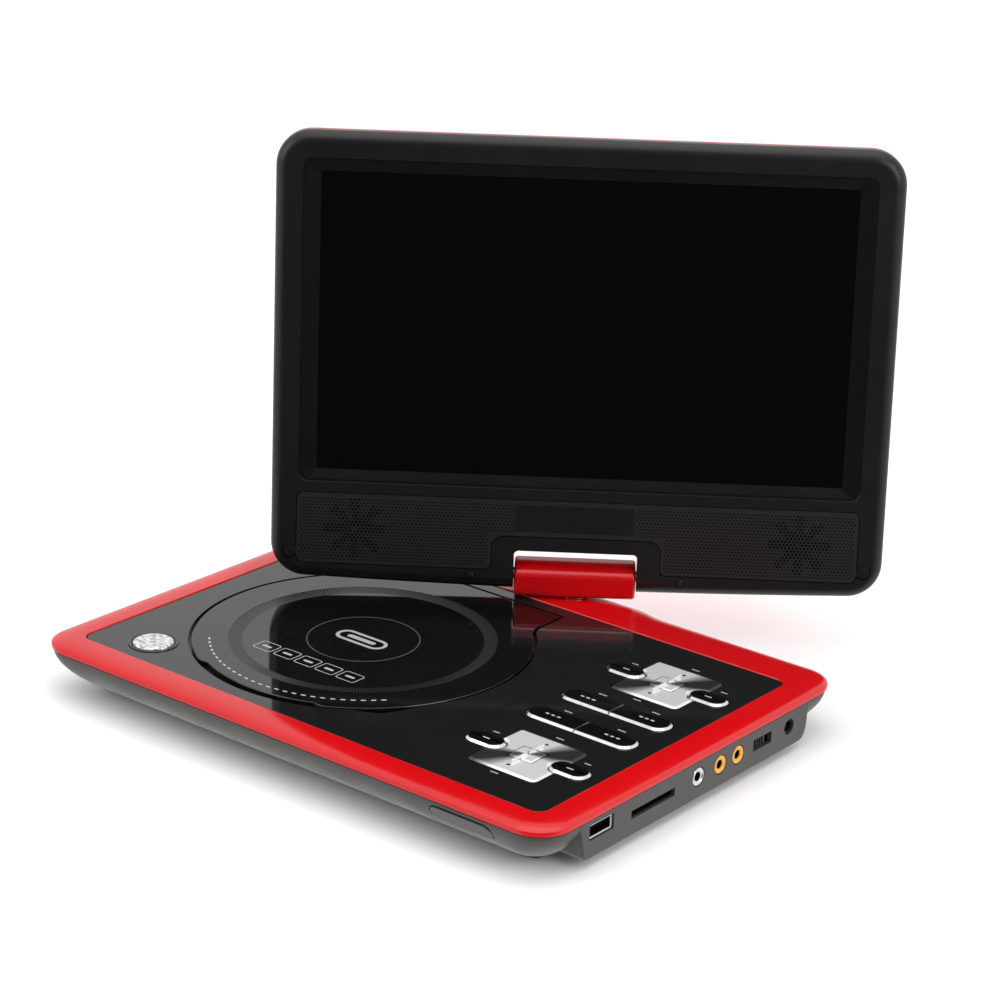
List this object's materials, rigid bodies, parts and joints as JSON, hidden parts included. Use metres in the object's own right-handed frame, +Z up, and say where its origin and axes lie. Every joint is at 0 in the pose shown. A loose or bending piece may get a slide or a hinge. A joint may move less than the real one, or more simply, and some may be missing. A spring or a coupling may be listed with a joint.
{
  "type": "portable dvd player",
  "caption": "Portable disc player with a swivelling, tilting screen lid over a flat base that holds a round disc door, key pads and side sockets.",
  "frame": {"origin": "centre of the base's flat underside; the four rubber feet stand 1 mm below it", "axes": "+X to the port side, +Y to the hinge, +Z up"},
  "size_m": [0.25, 0.2693, 0.2064],
  "materials": {
    "red": "glossy red lacquer",
    "gloss": "piano black gloss",
    "shell": "warm dark grey, fine texture",
    "satin": "satin black",
    "smoke": "dark glossy trim",
    "screen": "black screen surface",
    "chrome": "plated contact metal",
    "plated": "satin chrome plating on moulded caps",
    "steel": "plain steel",
    "rubber": "matt rubber",
    "board": "circuit board",
    "yellow": "yellow moulded socket",
    "battery": "wrapped cells",
    "lens": "clear coated lens"
  },
  "bodies": {
    "base": {"bottom_shell": "shell", "rim_frame": "red", "disc_panel": "gloss", "key_panel": "gloss", "loader_deck": "satin", "drive_chassis": "steel", "spindle_motor": "steel", "sled_rail_left": "steel", "sled_rail_right": "steel", "sled_motor": "steel", "main_board": "board", "key_board": "board", "battery_pack": "battery", "door_hinge_pin": "steel", "open_button_ring": "smoke", "sensor_window": "gloss", "usb_port": "steel", "card_slot": "satin", "headphone_jack": "chrome", "av_jack_1": "yellow", "av_jack_2": "yellow", "power_jack": "satin", "swivel_socket": "steel", "foot_1": "rubber", "foot_2": "rubber", "foot_3": "rubber", "foot_4": "rubber"},
    "disc_door": {"disc_door": "gloss"},
    "disc_hub": {"disc_hub": "satin"},
    "laser_sled": {"laser_sled": "satin", "laser_lens": "lens"},
    "lead_screw": {"lead_screw": "steel"},
    "open_button": {"open_button": "plated"},
    "power_switch": {"power_switch": "satin"},
    "pad_upper": {"pad_upper": "plated"},
    "pad_lower": {"pad_lower": "plated"},
    "pill_upper_left": {"pill_upper_left": "plated"},
    "pill_upper_right": {"pill_upper_right": "plated"},
    "pill_lower_left": {"pill_lower_left": "plated"},
    "pill_lower_right": {"pill_lower_right": "plated"},
    "bar_upper_left": {"bar_upper_left": "plated"},
    "bar_upper_right": {"bar_upper_right": "plated"},
    "bar_lower_left": {"bar_lower_left": "plated"},
    "bar_lower_right": {"bar_lower_right": "plated"},
    "swivel": {"swivel_post": "steel", "hinge_block": "red", "tilt_shaft": "steel"},
    "lid": {"lid_bezel": "satin", "lid_cover": "red", "lcd_panel": "screen", "speaker_grille": "satin", "lcd_board": "board", "speaker_left": "satin", "speaker_right": "satin", "hinge_bracket_left": "steel", "hinge_bracket_right": "steel", "screw_plug_1": "rubber", "screw_plug_2": "rubber", "screw_plug_3": "rubber", "screw_plug_4": "rubber"}
  },
  "joints": [
    {"name": "swivel_turn", "type": "hinge", "parent": "base", "child": "swivel", "pos_m": [0, 0.08575, 0.03], "axis": [0, 0, 1], "range_deg": [-37.2, 142.8]},
    {"name": "lid_tilt", "type": "hinge", "parent": "swivel", "child": "lid", "pos_m": [0, 0.08575, 0.03], "axis": [0.7965, 0.6046, 0], "range_deg": [-83.8, 96.2]},
    {"name": "door_lift", "type": "hinge", "parent": "base", "child": "disc_door", "pos_m": [-0.0332, 0.06215, 0.0174], "axis": [-1, 0, 0], "range_deg": [0, 5.5]},
    {"name": "disc_spin", "type": "hinge", "parent": "base", "child": "disc_hub", "pos_m": [-0.0332, -0.00495, 0.0139], "axis": [0, 0, 1], "continuous": true},
    {"name": "sled_travel", "type": "slide", "parent": "base", "child": "laser_sled", "axis": [0, -1, 0], "range_m": [0, 0.031]},
    {"name": "screw_turn", "type": "hinge", "parent": "base", "child": "lead_screw", "pos_m": [-0.0087, -0.0413, 0.009], "axis": [0, 1, 0], "range_deg": [0, 3730]},
    {"name": "open_press", "type": "slide", "parent": "base", "child": "open_button", "axis": [0, 0, -1], "range_m": [0, 0.0008], "stiffness_N_per_m": 400, "springref_m": -0.0005},
    {"name": "power_slide", "type": "slide", "parent": "base", "child": "power_switch", "axis": [0, 1, 0], "range_m": [0, 0.0027]},
    {"name": "pad_upper_press", "type": "slide", "parent": "base", "child": "pad_upper", "axis": [0, 0, -1], "range_m": [0, 0.0006], "stiffness_N_per_m": 400, "springref_m": -0.0005},
    {"name": "pad_lower_press", "type": "slide", "parent": "base", "child": "pad_lower", "axis": [0, 0, -1], "range_m": [0, 0.0006], "stiffness_N_per_m": 400, "springref_m": -0.0005},
    {"name": "pill_upper_left_press", "type": "slide", "parent": "base", "child": "pill_upper_left", "axis": [0, 0, -1], "range_m": [0, 0.0006], "stiffness_N_per_m": 400, "springref_m": -0.0005},
    {"name": "pill_upper_right_press", "type": "slide", "parent": "base", "child": "pill_upper_right", "axis": [0, 0, -1], "range_m": [0, 0.0006], "stiffness_N_per_m": 400, "springref_m": -0.0005},
    {"name": "pill_lower_left_press", "type": "slide", "parent": "base", "child": "pill_lower_left", "axis": [0, 0, -1], "range_m": [0, 0.0006], "stiffness_N_per_m": 400, "springref_m": -0.0005},
    {"name": "pill_lower_right_press", "type": "slide", "parent": "base", "child": "pill_lower_right", "axis": [0, 0, -1], "range_m": [0, 0.0006], "stiffness_N_per_m": 400, "springref_m": -0.0005},
    {"name": "bar_upper_left_press", "type": "slide", "parent": "base", "child": "bar_upper_left", "axis": [0, 0, -1], "range_m": [0, 0.0006], "stiffness_N_per_m": 400, "springref_m": -0.0005},
    {"name": "bar_upper_right_press", "type": "slide", "parent": "base", "child": "bar_upper_right", "axis": [0, 0, -1], "range_m": [0, 0.0006], "stiffness_N_per_m": 400, "springref_m": -0.0005},
    {"name": "bar_lower_left_press", "type": "slide", "parent": "base", "child": "bar_lower_left", "axis": [0, 0, -1], "range_m": [0, 0.0006], "stiffness_N_per_m": 400, "springref_m": -0.0005},
    {"name": "bar_lower_right_press", "type": "slide", "parent": "base", "child": "bar_lower_right", "axis": [0, 0, -1], "range_m": [0, 0.0006], "stiffness_N_per_m": 400, "springref_m": -0.0005}
  ],
  "couplings": [
    {"joint": "screw_turn", "follows": "sled_travel", "rad_per_m": 2094.4}
  ]
}
